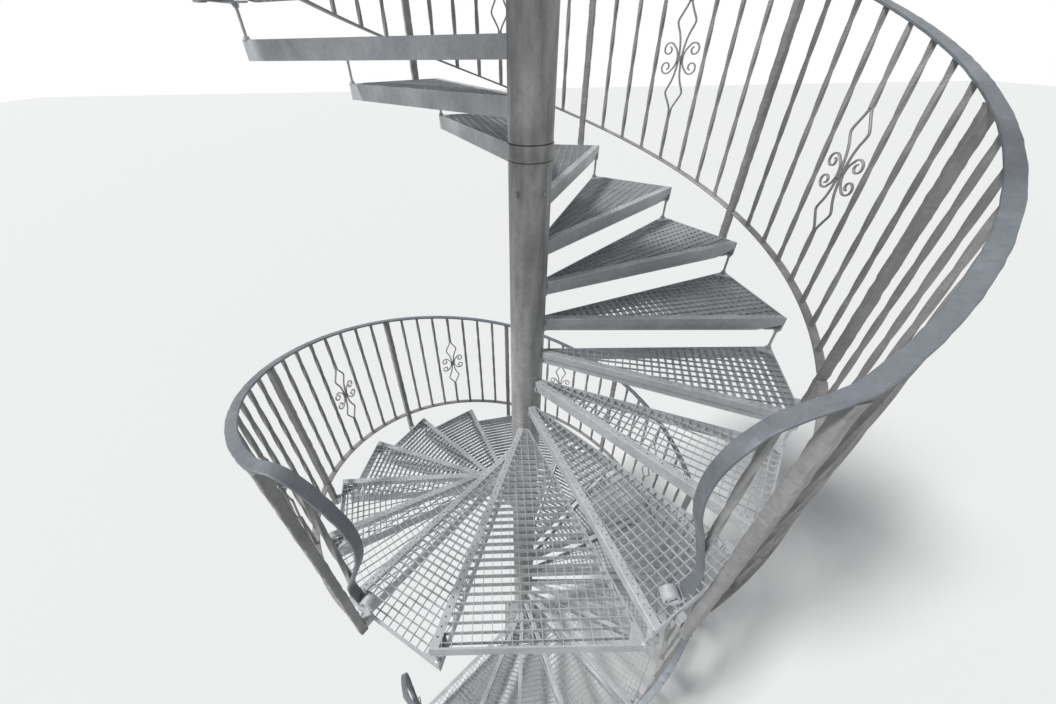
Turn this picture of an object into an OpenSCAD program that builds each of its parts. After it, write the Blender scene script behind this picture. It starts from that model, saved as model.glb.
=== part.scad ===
// Galvanised spiral stair for two storeys, with a wedge landing at each floor.
// Lengths are in millimetres and angles in degrees. Z is up, the ground is
// Z = 0 and the centre pole stands on the Z axis. The stair climbs
// counter-clockwise as seen from above, and the floors lie on its -Y side.

/* [Flights] */
// height of one step
rise = 168; // [160:1:180]
// turn from one tread to the next
step_angle = 23; // [22:0.1:24]
// turn that a landing wedge takes up
landing_angle = 38; // [36:0.5:42]
// treads between the ground and the first landing
treads_lower = 17; // [13:1:17]
// treads between the first landing and the top one, which together make a full turn
treads_upper = 14; // [12:1:14]

/* [Treads] */
// distance from the pole axis to a tread's front outer corner
tread_radius = 1162; // [1050:1:1250]
// distance that a tread's front edge leads the line through the axis
nose_lead = 20; // [16:1:26]
// turn of the wedge between a tread's front and rear edges
wedge_angle = 23.8; // [23:0.1:24.5]
// height of the frame plates round a tread
frame_height = 66; // [58:1:76]
// thickness of the frame plates
plate = 5; // [4:0.5:6]
// width of the flat nosing on the front edge
nosing_width = 32; // [28:1:40]
// depth of the grating bars
bar_depth = 28; // [25:1:35]
// thickness of the grating bars
bar_thickness = 3; // [2:0.5:4]
// distance between the grating's deep bars, which run across the wedge
bar_pitch = 97.2; // [92:0.1:104]
// distance between the grating's shallow bars, which run along the wedge
cross_pitch = 108; // [100:0.1:114]

/* [Pole] */
// outer diameter of the centre pole
pole_diameter = 159; // [150:1:168]
// wall thickness of the centre pole
pole_wall = 6; // [4:0.5:8]
// height of the pole above the top landing
pole_rest = 1000; // [900:10:1100]
// width of the square base plate
base_width = 360; // [320:5:420]
// thickness of the base plate
base_thickness = 15; // [12:1:20]
// distance between the anchor holes along each side
anchor_spacing = 290; // [260:2:340]
// radius of the anchor holes
anchor_radius = 9; // [7:0.5:10]

/* [Railing] */
// distance from the circle of the treads' corners out to the middle of the railing
rail_offset = 28; // [26:1:60]
// height of the handrail's middle above the line of the nosings
handrail_height = 982; // [900:1:1050]
// width of the flat handrail
handrail_width = 40; // [35:1:50]
// thickness of the flat handrail
handrail_thickness = 10; // [8:1:12]
// height of the bottom rail's middle above the line of the nosings
bottom_rail_height = 83; // [75:1:95]
// width of the flat bottom rail
bottom_rail_width = 35; // [30:1:40]
// thickness of the flat bottom rail
bottom_rail_thickness = 8; // [6:1:10]
// width of the square posts
post_width = 35; // [30:1:40]
// width of the square balusters
baluster_width = 16; // [12:1:18]
// reach of the handrail's lower end ahead of its post
lower_reach = 236; // [200:4:260]
// reach of the handrail's upper end ahead of its post
upper_reach = 295; // [240:5:320]
// width that the handrail's end is spread to, on the tread
foot_width = 52; // [45:1:60]
// thickness of the handrail's spread end
foot_thickness = 8; // [6:0.5:9]
// radius of the roll at the handrail's end
roll_radius = 28; // [25:1:32]
// width and depth of the flat bars in the scrolled bars
scroll_bar = 8; // [6:0.5:9]

/* [Hidden] */
$fn = 48;
pole_radius = pole_diameter / 2;
storey = (treads_lower + 1) * rise;
top_floor = storey + (treads_upper + 1) * rise;
quarter = step_angle / 4;
rail_radius = tread_radius + rail_offset;
pitch_slope = rise / (rail_radius * step_angle * PI / 180);
slope_per_degree = rise / step_angle;
landing_start = -90 - landing_angle / 2;
upper_start = landing_start + landing_angle;
lower_start = landing_start - treads_lower * step_angle;
top_start = upper_start + treads_upper * step_angle;
nose_turn = asin(nose_lead / tread_radius);
pad = 6;
rod_radius = 6;
cross_depth = 12;
foot_radius = tread_radius - 50;
rail_level = quarter * slope_per_degree + handrail_height;
bow_points = 30;
bow_crest = 14;
bow_bar_place = 0.66;
heel = 115;
bend = 40;
roll_turn = 528;

// polar point on the plan
function polar(r, a) = [r * cos(a), r * sin(a)];

// the tread's front corner, rear corner and apex in the tread's own frame
function front_corner() = [tread_radius * cos(nose_turn), -nose_lead];
function rear_corner(w) = [0, -nose_lead] + polar(tread_radius + 8, w);

function unit(v) = v / norm(v);

// corner p of an outline, moved in so that both sides through a and b shift by d
function tuck(p, a, b, d) =
    let (u = unit(a - p), v = unit(b - p))
    p + (u + v) * d / abs(cross(u, v));

// plan outline of the wedge with all three sides drawn in by d: apex, front corner, rear corner
function wedge(w, d) =
    let (o = [0, -nose_lead], f = front_corner(), r = rear_corner(w))
    [tuck(o, f, r, d), tuck(f, o, r, d), tuck(r, o, f, d)];

// wedge tread: front nosing and lip, frame plates, corner pads and an open grating
// w is the turn of the wedge, and post says whether a railing post is fixed to the tread
module tread(w, post) {
    color([0.68, 0.71, 0.73])
    difference() {
        union() {
            front_edge(w);
            frame_plates(w);
            grating(w);
            corner_pads(w);
            if (post) post_block();
        }
        cylinder(r = pole_radius, h = 4 * rise, center = true);
    }
}

// folded front edge: a flat nosing, its face, and a lip set back under it
module front_edge(w) {
    step_back = 7;
    half = frame_height / 2;
    f = wedge(w, 2)[1];
    d = unit(rear_corner(w) - front_corner());
    intersection() {
        translate([0, -nose_lead, 0])
            rotate([90, 0, 90])
            linear_extrude(height = tread_radius + 20)
            polygon([
                [0, 0],
                [0, -half],
                [step_back, -half],
                [step_back, -frame_height],
                [step_back + 3, -frame_height],
                [step_back + 3, -half + 3],
                [3, -half + 3],
                [3, -3],
                [nosing_width, -3],
                [nosing_width, 0],
            ]);
        translate([0, 0, -100])
            linear_extrude(height = 200)
            polygon([[0, -60], f - d * 60, f + d * 60, [0, 60]]);
    }
}

// upright plates along the outer and rear sides, with an end plate against the pole
module frame_plates(w) {
    o = [0, -nose_lead];
    f = front_corner();
    r = rear_corner(w);
    inner = tuck(r, o, f, plate);
    end = pole_radius + 6;
    translate([0, 0, -frame_height])
        linear_extrude(height = frame_height)
        polygon([
            o,
            [end, -nose_lead],
            [end, inner[1] + (end - inner[0]) * tan(w)],
            inner,
            tuck(f, o, r, plate) - [0, plate],
            f,
            r,
        ]);
}

// flat bars inside the wedge: deep main bars, and shallow cross bars that are flush on top
module grating(w) {
    reach = tread_radius + 60;
    side = reach * sin(w);
    rows = floor(side / cross_pitch);
    intersection() {
        translate([0, 0, -bar_depth])
            linear_extrude(height = bar_depth)
            polygon(wedge(w, 2));
        rotate([0, 0, w / 2])
            union() {
                for (i = [1 : floor(reach / bar_pitch)]) {
                    translate([i * bar_pitch - bar_thickness / 2, -side, -bar_depth])
                        cube([bar_thickness, 2 * side, bar_depth]);
                }
                for (i = [-rows : rows]) {
                    translate([0, i * cross_pitch - bar_thickness / 2, -cross_depth])
                        cube([reach, bar_thickness, cross_depth]);
                }
            }
    }
}

// plates that close the two outer corners
module corner_pads(w) {
    inner = wedge(w, 2);
    f = inner[1];
    r = inner[2];
    d = unit(r - f);
    b = [cos(w), sin(w)];
    translate([0, 0, -frame_height])
        linear_extrude(height = pad)
        polygon([f + d * 6.5, f + [-75, 6.4], f + [-75, 22], f + d * 70]);
    translate([0, 0, -pad])
        linear_extrude(height = pad)
        polygon([r, r - b * 75, r - b * 75 - d * 15, r - d * 70]);
}

// rods from each tread's rear corner up to the next tread's front corner
module corner_rods(start, base, first, count) {
    color([0.55, 0.57, 0.6])
    for (k = [first : count]) {
        rotate([0, 0, start + k * step_angle + 0.45])
            translate([tread_radius - 15, 0, base + k * rise])
            cylinder(r = rod_radius, h = rise - frame_height);
    }
}

// block outside the frame plate that a post is fixed to
module post_block() {
    inner = tread_radius - 30;
    outer = rail_radius - post_width / 2;
    wide = 30;
    tall = 44;
    rotate([0, 0, quarter - nose_turn])
        translate([inner, -wide / 2, -frame_height / 2 - tall / 2])
        cube([outer - inner, wide, tall]);
}

// one numbered tread of a flight, 1 being the lowest
module flight_tread(start, base, k, count) {
    translate([0, 0, base + k * rise])
        rotate([0, 0, start + (k - 1) * step_angle + nose_turn])
        tread(wedge_angle, k % 2 == 1 || k == count);
}

// the wedge landing that follows a flight
module landing(start, base) {
    w = landing_angle + wedge_angle - step_angle;
    translate([0, 0, base])
        rotate([0, 0, start + nose_turn])
        tread(w, false);
}

// round tube between two heights
module pole_section(z0, z1) {
    color([0.64, 0.66, 0.67])
    translate([0, 0, z0])
        difference() {
            cylinder(r = pole_radius, h = z1 - z0);
            translate([0, 0, -1])
                cylinder(r = pole_radius - pole_wall, h = z1 - z0 + 2);
        }
}

module base_plate() {
    foot = 70;
    color([0.6, 0.62, 0.63])
    difference() {
        union() {
            translate([-base_width / 2, -base_width / 2, 0])
                cube([base_width, base_width, base_thickness]);
            for (a = [0 : 90 : 270]) {
                rotate([0, 0, a])
                    translate([0, 4, base_thickness])
                    rotate([90, 0, 0])
                    linear_extrude(height = 8)
                    polygon([
                        [pole_radius, 0],
                        [base_width / 2 - 12, 0],
                        [base_width / 2 - 12, 8],
                        [pole_radius + 12, foot],
                        [pole_radius, foot],
                    ]);
            }
        }
        for (x = [-1, 1], y = [-1, 1]) {
            translate([x * anchor_spacing / 2, y * anchor_spacing / 2, -1])
                cylinder(r = anchor_radius, h = base_thickness + 2);
        }
        translate([0, 0, base_thickness])
            cylinder(r = pole_radius, h = 200);
    }
}

module pole_cap() {
    color([0.62, 0.64, 0.65])
    translate([0, 0, top_floor + pole_rest])
        rotate_extrude()
        polygon([[0, 0], [pole_radius + 3, 0], [pole_radius + 3, 8], [pole_radius - 6, 22], [0, 30]]);
}

// height of the nosing line above the flight's base, at an angle counted from tread 1's corner
function nosing_z(a) = rise + a * slope_per_degree;

// a point of a strip drawn on the unrolled railing cylinder, brought back to space
function wrap(r, s, z) = [r * cos(s / rail_radius * 180 / PI), r * sin(s / rail_radius * 180 / PI), z];

// left-hand normal of a path at index i, from the first two numbers of its points
function path_normal(p, i) =
    let (a = p[max(i - 1, 0)], b = p[min(i + 1, len(p) - 1)], d = unit([b[0] - a[0], b[1] - a[1]]))
    [-d[1], d[0]];

// flat strip round the pole, as a closed solid. Each point of its path holds the length along
// the unrolled railing cylinder, the height, the radius, the strip's width and its thickness
module strip(path) {
    n = len(path);
    pts = [
        for (i = [0 : n - 1])
            let (
                p = path[i],
                m = path_normal(path, i) * p[4] / 2,
                inner = p[2] - p[3] / 2,
                outer = p[2] + p[3] / 2
            )
            each [
                wrap(inner, p[0] - m[0], p[1] - m[1]),
                wrap(outer, p[0] - m[0], p[1] - m[1]),
                wrap(outer, p[0] + m[0], p[1] + m[1]),
                wrap(inner, p[0] + m[0], p[1] + m[1]),
            ]
    ];
    sides = [
        for (i = [0 : n - 2], j = [0 : 3])
            let (a = 4 * i + j, b = 4 * i + (j + 1) % 4)
            each [[a, b, b + 4], [a, b + 4, a + 4]]
    ];
    last = 4 * (n - 1);
    ends = [[2, 1, 0], [3, 2, 0], [last, last + 1, last + 2], [last, last + 2, last + 3]];
    polyhedron(points = pts, faces = [for (t = concat(sides, ends)) [t[2], t[1], t[0]]], convexity = 10);
}

// length along the unrolled cylinder for an angle
function along(a) = a * rail_radius * PI / 180;

// angle of the post on tread k, counted from tread 1's corner
function post_angle(k) = (k - 1) * step_angle + quarter;

// treads of a flight that carry a post: every second one, and the last
function post_treads(count) = concat([for (k = [1 : 2 : count]) k], count % 2 == 0 ? [count] : []);

// smooth curve through all points of a list but the first and last, in n parts between each two
function curve(p, n) = [
    for (i = [1 : len(p) - 3], j = [1 : n])
        let (
            t = j / n,
            a = p[i - 1],
            b = p[i],
            c = p[i + 1],
            d = p[i + 2],
            bend = a * 2 - b * 5 + c * 4 - d,
            twist = b * 3 - a - c * 3 + d
        )
        b + ((c - a) * t + bend * t * t + twist * t * t * t) / 2
];

function clamp(v) = min(1, max(0, v));

// the handrail drifts inwards, narrows and then spreads as its end comes down to height h
function bow_radius(h) =
    let (u = clamp(h / rail_level / 0.9))
    foot_radius + (rail_radius - foot_radius) * (u + 0.3 * u * (1 - u));
function bow_width(h) =
    let (
        neck = handrail_width * 0.85,
        top = clamp(h / rail_level * 3.3 - 1.6),
        foot = clamp(1.4 - h / rail_level * 8)
    )
    neck + (handrail_width - neck) * top + (foot_width - neck) * foot;
function bow_thickness(h) =
    foot_thickness + (handrail_thickness - foot_thickness) * clamp(h / rail_level * 2);

// bow of a handrail's end: distance ahead of the post and height over the tread. It runs on as
// the rail does, turns over its crest, leans back past the post's inner face and ends at the heel
function bow(side, reach) =
    let (lean = side * pitch_slope * reach, level = rail_level)
    curve([
        [0, level],
        [20, level + side * pitch_slope * 20],
        [reach * 0.25, level * 1.012 + lean * 0.25],
        [reach * 0.5, level * 1.02 + lean * 0.4],
        [reach * 0.78, level + lean * 0.47],
        [reach * 0.94, level * 0.94 + lean * 0.38],
        [reach, level * 0.862 + lean * 0.25],
        [reach * 0.93, level * 0.765 + lean * 0.14],
        [reach * 0.66, level * 0.61 + lean * 0.03],
        [reach * 0.22, level * 0.37],
        [reach * -0.2, level * 0.17],
        [-heel, bend + foot_thickness / 2],
        [-heel + bend * 0.13, (bend + foot_thickness) / 2],
    ], bow_points / 10);

// scrolled end: the bow, a bend onto the tread, and a roll beside the post. side is -1 at the
// lower end and 1 at the upper end, s is the post's place, and foot the height of the tread
function scroll(side, s, foot, reach) =
    let (bottom = foot + foot_thickness / 2, top = foot + rail_level + side * pitch_slope * 20)
    [
        [s + side * 20, top, rail_radius, handrail_width, handrail_thickness],
        for (q = bow(side, reach))
            [s + side * q[0], foot + q[1], bow_radius(q[1]), bow_width(q[1]), bow_thickness(q[1])],
        for (t = [200 : 20 : 260])
            let (x = bend - heel + bend * cos(t))
            [s + side * x, bottom + bend + bend * sin(t), foot_radius, foot_width, foot_thickness],
        for (t = [0 : 24 : roll_turn])
            let (r = roll_radius - t * 0.0325, z = bottom + roll_radius - r * cos(t))
            [s + side * r * sin(t), z, foot_radius, foot_width, foot_thickness],
    ];

function reversed(p) = [for (i = [len(p) - 1 : -1 : 0]) p[i]];

// middle line of a handrail over a flight of count treads
function handrail_path(count) =
    let (a0 = post_angle(1), a1 = post_angle(count))
    concat(
        reversed(scroll(-1, along(a0), rise, lower_reach)),
        [
            for (a = [a0 : quarter : a1 + 0.01])
                let (z = nosing_z(a) + handrail_height)
                [along(a), z, rail_radius, handrail_width, handrail_thickness]
        ],
        scroll(1, along(a1), count * rise, upper_reach)
    );

module handrail(start, base, count) {
    color([0.72, 0.74, 0.75])
    translate([0, 0, base])
        rotate([0, 0, start])
        strip(handrail_path(count));
}

// bottom rail: one length between each pair of posts
module bottom_rail(start, base, count) {
    gap = asin(post_width / 2 / rail_radius);
    at = post_treads(count);
    color([0.66, 0.68, 0.7])
    translate([0, 0, base])
        rotate([0, 0, start])
        for (i = [0 : len(at) - 2]) {
            a0 = post_angle(at[i]) + gap;
            a1 = post_angle(at[i + 1]) - gap;
            n = 4 * (at[i + 1] - at[i]);
            strip([
                for (j = [0 : n])
                    let (a = a0 + (a1 - a0) * j / n)
                    let (z = nosing_z(a) + bottom_rail_height)
                    [along(a), z, rail_radius, bottom_rail_width, bottom_rail_thickness]
            ]);
        }
}

// upright square bar between two heights at radius r, its ends cut to slopes of the rails
module upright(a, z0, z1, w, foot_slope, head_slope, r = rail_radius) {
    h = w / 2;
    k = pitch_slope * h;
    rotate([0, 0, a])
        translate([r + h, 0, 0])
        rotate([90, 0, -90])
        linear_extrude(height = w)
        polygon([
            [-h, z0 + k * foot_slope],
            [h, z0 - k * foot_slope],
            [h, z1 - k * head_slope],
            [-h, z1 + k * head_slope],
        ]);
}

// posts on each second tread and on the last
module posts(start, base, count) {
    color([0.7, 0.72, 0.73])
    translate([0, 0, base])
        rotate([0, 0, start])
        for (k = post_treads(count)) {
            a = post_angle(k);
            upright(a, k * rise - frame_height, bar_top(a), post_width, 0, 1);
        }
}

// heights at which a baluster leaves the bottom rail and meets the handrail
function bar_foot(a) = nosing_z(a) + bottom_rail_height + bottom_rail_thickness / 2;
function bar_top(a) = nosing_z(a) + handrail_height - handrail_thickness / 2;

// plain balusters: three to each tread's turn and one between, without the middle one of a bay
module balusters(start, base, count) {
    at = post_treads(count);
    color([0.6, 0.63, 0.66])
    translate([0, 0, base])
        rotate([0, 0, start]) {
            for (i = [0 : len(at) - 2]) {
                bars = 4 * (at[i + 1] - at[i]);
                for (j = [1 : bars - 1]) {
                    a = post_angle(at[i]) + j * quarter;
                    if (j != 4) upright(a, bar_foot(a), bar_top(a), baluster_width, 1, 1);
                }
            }
            bow_bar(-1, post_angle(1), rise, lower_reach);
            bow_bar(1, post_angle(count), count * rise, upper_reach);
        }
}

// short bar inside the bow of a handrail's end, its ends cut to the bow's slopes
module bow_bar(side, a, foot, reach) {
    line = bow(side, reach);
    crest = [for (i = [0 : bow_crest]) line[i]];
    lean = [for (i = [bow_crest + 1 : bow_points - 1]) line[i]];
    x = reach * bow_bar_place;
    h = baluster_width / 2;
    low_slope = (lookup(x + h, lean) - lookup(x - h, lean)) / baluster_width;
    high_slope = (lookup(x + h, crest) - lookup(x - h, crest)) / baluster_width;
    clear = handrail_thickness / 2;
    low = lookup(x, lean) + clear * sqrt(1 + low_slope * low_slope) + 0.3;
    high = lookup(x, crest) - clear * sqrt(1 + high_slope * high_slope) - 0.3;
    upright(
        a + side * x / rail_radius * 180 / PI, foot + low, foot + high, baluster_width,
        side * low_slope / pitch_slope, side * high_slope / pitch_slope, rail_radius - 10
    );
}

// flat ribbon along a path on the plane
module ribbon(p) {
    polygon(concat(
        [for (i = [0 : len(p) - 1]) p[i] + path_normal(p, i) * scroll_bar / 2],
        [for (i = [len(p) - 1 : -1 : 0]) p[i] - path_normal(p, i) * scroll_bar / 2]
    ));
}

// scrolled bar: a diamond above and one below a collar, with four curled scrolls round it
module scroll_bar_at(a) {
    middle = (bar_foot(a) + bar_top(a)) / 2;
    half = 180;
    deep = scroll_bar * 1.5;
    diamond = concat(
        [[5, half + 4], [7, half - 6], [44, half - 40], [44, half - 50]],
        [[26, half - 92], [12, half - 135], [7, 8]]
    );
    curl = concat(
        [[6, 2], [13, 20], [23, 37]],
        [
            for (t = [0 : 25 : 400])
                let (r = 28 - t * 0.042)
                [62 - r * cos(30 + t), 35 + r * sin(30 + t)]
        ]
    );
    union() {
        upright(a, bar_foot(a), middle - half, baluster_width, 1, 0);
        upright(a, middle + half, bar_top(a), baluster_width, 0, 1);
        upright(a, middle - 15, middle + 15, baluster_width + 10, 0, 0);
        rotate([0, 0, a])
            translate([rail_radius + deep / 2, 0, middle])
            rotate([90, 0, -90])
            linear_extrude(height = deep)
            for (m = [0, 1], n = [0, 1]) {
                mirror([m, 0])
                    mirror([0, n]) {
                        ribbon(diamond);
                        ribbon(curl);
                    }
            }
    }
}

// the scrolled bars in the middle of the bays of two treads
module scroll_bars(start, base, count) {
    at = post_treads(count);
    color([0.5, 0.55, 0.6])
    translate([0, 0, base])
        rotate([0, 0, start])
        for (i = [0 : len(at) - 2]) {
            if (at[i + 1] - at[i] == 2) scroll_bar_at(post_angle(at[i]) + 4 * quarter);
        }
}

// name of a numbered node
function numbered(word, k) = str(word, k < 10 ? "_0" : "_", k);

joint_a = storey - 8 * rise + 16;
joint_b = storey + 45;
joint_c = storey + 8 * rise + 16;

base_plate();
pole_section(base_thickness, joint_a);  // pole_ground
pole_section(joint_a, joint_b);  // pole_lower
pole_section(joint_b, joint_c);  // pole_middle
pole_section(joint_c, top_floor + pole_rest);  // pole_upper
pole_cap();
landing(landing_start, storey);  // landing_first
landing(top_start, top_floor);  // landing_top
for (k = [1 : treads_lower]) {
    flight_tread(lower_start, 0, k, treads_lower);
}
for (k = [1 : treads_upper]) {
    flight_tread(upper_start, storey, k, treads_upper);
}
corner_rods(lower_start, 0, 1, treads_lower);  // corner_rods_lower
corner_rods(upper_start, storey, 0, treads_upper);  // corner_rods_upper
handrail(lower_start, 0, treads_lower);  // handrail_lower
bottom_rail(lower_start, 0, treads_lower);  // bottom_rail_lower
posts(lower_start, 0, treads_lower);  // posts_lower
balusters(lower_start, 0, treads_lower);  // balusters_lower
scroll_bars(lower_start, 0, treads_lower);  // scroll_bars_lower
handrail(upper_start, storey, treads_upper);  // handrail_upper
bottom_rail(upper_start, storey, treads_upper);  // bottom_rail_upper
posts(upper_start, storey, treads_upper);  // posts_upper
balusters(upper_start, storey, treads_upper);  // balusters_upper
scroll_bars(upper_start, storey, treads_upper);  // scroll_bars_upper
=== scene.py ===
import math

import bpy
import numpy as np
from mathutils import Matrix, Vector


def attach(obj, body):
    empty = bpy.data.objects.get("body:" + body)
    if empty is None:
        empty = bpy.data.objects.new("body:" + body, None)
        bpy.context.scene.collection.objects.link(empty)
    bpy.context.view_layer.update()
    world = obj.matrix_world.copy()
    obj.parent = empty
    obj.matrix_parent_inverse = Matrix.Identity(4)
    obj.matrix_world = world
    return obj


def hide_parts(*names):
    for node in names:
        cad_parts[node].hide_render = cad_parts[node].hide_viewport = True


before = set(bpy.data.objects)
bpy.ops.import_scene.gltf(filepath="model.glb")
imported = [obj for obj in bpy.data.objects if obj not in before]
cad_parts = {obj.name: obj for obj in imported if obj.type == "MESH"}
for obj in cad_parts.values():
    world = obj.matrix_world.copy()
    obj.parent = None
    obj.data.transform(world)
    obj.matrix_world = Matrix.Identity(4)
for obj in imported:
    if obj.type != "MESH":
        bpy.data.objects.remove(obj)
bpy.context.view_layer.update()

# ---------------------------------------------------------------- camera
# The view is from just outside the first landing, at eye height above its grating, through a
# wide lens pointed down past the pole.
picture_width, picture_height = 1056, 704
focal_length, lens_centre = 399.5, (508.8, 361.6)        # in pixels of that picture
film_width = 36.0
eye = Vector((-0.0706, -1.560, 4.682))
pitch, yaw, roll = math.radians(38.66), math.radians(-0.716), math.radians(-1.083)
forward = Vector((
    math.sin(yaw) * math.cos(pitch), math.cos(yaw) * math.cos(pitch), -math.sin(pitch)))
level_right = Vector((math.cos(yaw), -math.sin(yaw), 0.0))
level_up = level_right.cross(forward)
right = math.cos(roll) * level_right + math.sin(roll) * level_up
upward = math.cos(roll) * level_up - math.sin(roll) * level_right
camera = bpy.data.objects.new("camera", bpy.data.cameras.new("camera"))
camera.data.sensor_width = film_width
camera.data.lens = film_width * focal_length / picture_width
camera.data.shift_x = (picture_width / 2 - lens_centre[0]) / picture_width
camera.data.shift_y = (lens_centre[1] - picture_height / 2) / picture_width
camera.matrix_world = Matrix((
    (right.x, upward.x, -forward.x, eye.x),
    (right.y, upward.y, -forward.y, eye.y),
    (right.z, upward.z, -forward.z, eye.z),
    (0, 0, 0, 1),
))
bpy.context.scene.collection.objects.link(camera)
bpy.context.scene.camera = camera

# ---------------------------------------------------------------- pole
# The centre pole is thick round steel tube in bolted lengths, slid over an inner sleeve at each
# joint and dipped in molten zinc. Two joints have a collar with a stained seam at each edge and
# four bolt heads below it, and a weld bead runs round the pole just above the landing.


def zinc(name, shade, tint, crystal, runs, rough, metallic=0.3):
    """Zinc that has gone matt outdoors. Its grey is shade times tint times four patterns: crystal
    cells, so many to a metre, give small steps, a wide noise gives cloudy patches, a noise drawn
    out along Z gives runs, and a fine noise gives grain. The grain is also its bump."""
    cloud_scale, run_scale, grain_scale = 7.0, 28.0, 260.0
    crystal_greys, cloud_greys, grain_greys = (0.93, 1.06), (0.84, 1.13), (0.95, 1.05)
    run_greys = (1 - 0.3 * runs, 1 + 0.2 * runs)
    rough_values = (rough + 0.1, rough - 0.08)
    bump_strength, bump_height = 0.22, 0.001
    material = bpy.data.materials.new(name)
    material.use_nodes = True
    nodes, links = material.node_tree.nodes, material.node_tree.links
    shader = nodes["Principled BSDF"]
    shader.inputs["Metallic"].default_value = metallic
    place = nodes.new("ShaderNodeTexCoord")

    def pattern(kind, scale, stretch=(1, 1, 1), **settings):
        """A texture on object coordinates with its own stretch."""
        turn = nodes.new("ShaderNodeMapping")
        turn.inputs["Scale"].default_value = stretch
        links.new(place.outputs["Object"], turn.inputs["Vector"])
        texture = nodes.new(kind)
        texture.inputs["Scale"].default_value = scale
        for key, value in settings.items():
            texture.inputs[key].default_value = value
        links.new(turn.outputs["Vector"], texture.inputs["Vector"])
        return texture

    def ramp(source, values, span=(0.3, 0.7)):
        """A straight line from the first value to the second as the source crosses the span."""
        node = nodes.new("ShaderNodeMapRange")
        for key, value in zip(("From Min", "From Max", "To Min", "To Max"), span + values):
            node.inputs[key].default_value = value
        links.new(source, node.inputs["Value"])
        return node.outputs["Result"]

    def product(a, b):
        """An output times another output or times a plain number."""
        node = nodes.new("ShaderNodeMath")
        node.operation = "MULTIPLY"
        links.new(a, node.inputs[0])
        if isinstance(b, float):
            node.inputs[1].default_value = b
        else:
            links.new(b, node.inputs[1])
        return node.outputs["Value"]

    cells = pattern("ShaderNodeTexVoronoi", crystal)
    split = nodes.new("ShaderNodeSeparateColor")
    links.new(cells.outputs["Color"], split.inputs["Color"])
    clouds = pattern("ShaderNodeTexNoise", cloud_scale, Detail=5.0, Roughness=0.6)
    streaks = pattern("ShaderNodeTexNoise", run_scale, stretch=(1, 1, 0.12), Detail=3.0)
    grain = pattern("ShaderNodeTexNoise", grain_scale, Detail=4.0)
    grey = product(ramp(split.outputs["Red"], crystal_greys, (0.0, 1.0)),
                   ramp(clouds.outputs["Fac"], cloud_greys))
    grey = product(grey, ramp(streaks.outputs["Fac"], run_greys))
    grey = product(grey, ramp(grain.outputs["Fac"], grain_greys))
    colour = nodes.new("ShaderNodeCombineColor")
    for channel, part in zip(("Red", "Green", "Blue"), tint):
        links.new(product(grey, shade * part), colour.inputs[channel])
    links.new(colour.outputs["Color"], shader.inputs["Base Color"])
    links.new(ramp(clouds.outputs["Fac"], rough_values), shader.inputs["Roughness"])
    bump = nodes.new("ShaderNodeBump")
    bump.inputs["Strength"].default_value = bump_strength
    bump.inputs["Distance"].default_value = bump_height
    links.new(grain.outputs["Fac"], bump.inputs["Height"])
    links.new(bump.outputs["Normal"], shader.inputs["Normal"])
    return material


def dress(node, finish):
    """A CAD node that stays in view gets its finish."""
    for material_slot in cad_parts[node].material_slots:
        material_slot.material = finish


def piece(name, shells, finish, smooth=False):
    """One object out of closed shells, each a pair of points (n, 3) and lists of faces. A smooth
    one keeps its edges sharp where faces meet at more than 35 degrees."""
    points, faces, start = [], [], 0
    for shell_points, shell_faces in shells:
        points.append(shell_points)
        faces += [f + start for f in shell_faces if len(f)]
        start += len(shell_points)
    mesh = bpy.data.meshes.new(name)
    points = np.concatenate(points)
    mesh.vertices.add(len(points))
    mesh.vertices.foreach_set("co", points.astype(np.float32).ravel())
    corners = np.concatenate([f.ravel() for f in faces])
    sizes = np.concatenate([np.full(len(f), f.shape[1]) for f in faces])
    first_corners = np.concatenate([[0], np.cumsum(sizes)[:-1]])
    mesh.loops.add(len(corners))
    mesh.loops.foreach_set("vertex_index", corners.astype(np.int32))
    mesh.polygons.add(len(sizes))
    mesh.polygons.foreach_set("loop_start", first_corners.astype(np.int32))
    mesh.polygons.foreach_set("loop_total", sizes.astype(np.int32))
    mesh.polygons.foreach_set("use_smooth", np.full(len(sizes), smooth))
    mesh.update(calc_edges=True)
    mesh.validate()
    mesh.materials.append(finish)
    made = bpy.data.objects.new(name, mesh)
    bpy.context.scene.collection.objects.link(made)
    if smooth:
        mesh.set_sharp_from_angle(angle=math.radians(35))
    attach(made, "root")
    return made


def carry(centre, side, up, outline):
    """A closed outline carried along a path: point (i, j) is centre[i] plus outline[j] measured
    along side[i] and up[i]. The outline runs anticlockwise seen against the path, and the ends are
    capped."""
    outline = np.broadcast_to(outline, (len(centre),) + np.shape(outline)[-2:])
    n, m = outline.shape[:2]
    points = centre[:, None] + outline[..., :1] * side[:, None] + outline[..., 1:] * up[:, None]
    i, j = np.meshgrid(np.arange(n - 1), np.arange(m), indexing="ij")
    k = (j + 1) % m
    walls = np.stack([i * m + j, i * m + k, (i + 1) * m + k, (i + 1) * m + j], -1)
    caps = [np.arange(m)[::-1][None], (n - 1) * m + np.arange(m)[None]]
    return points.reshape(-1, 3), [walls.reshape(-1, 4)] + caps


def lathe(profile, sides):
    """A profile of (radius, height) points turned about Z, closed at both ends by a face."""
    profile = np.array(profile, float)
    n = len(profile)
    a = np.arange(sides) * 2 * math.pi / sides
    circle = np.stack([np.cos(a), np.sin(a)], -1)
    centre = np.stack([np.zeros(n), np.zeros(n), profile[:, 1]], -1)
    side, up = np.tile([1.0, 0, 0], (n, 1)), np.tile([0, 1.0, 0], (n, 1))
    return carry(centre, side, up, profile[:, :1, None] * circle[None])


def unit(v):
    """The vector divided by its length."""
    return v / np.linalg.norm(v)


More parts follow.
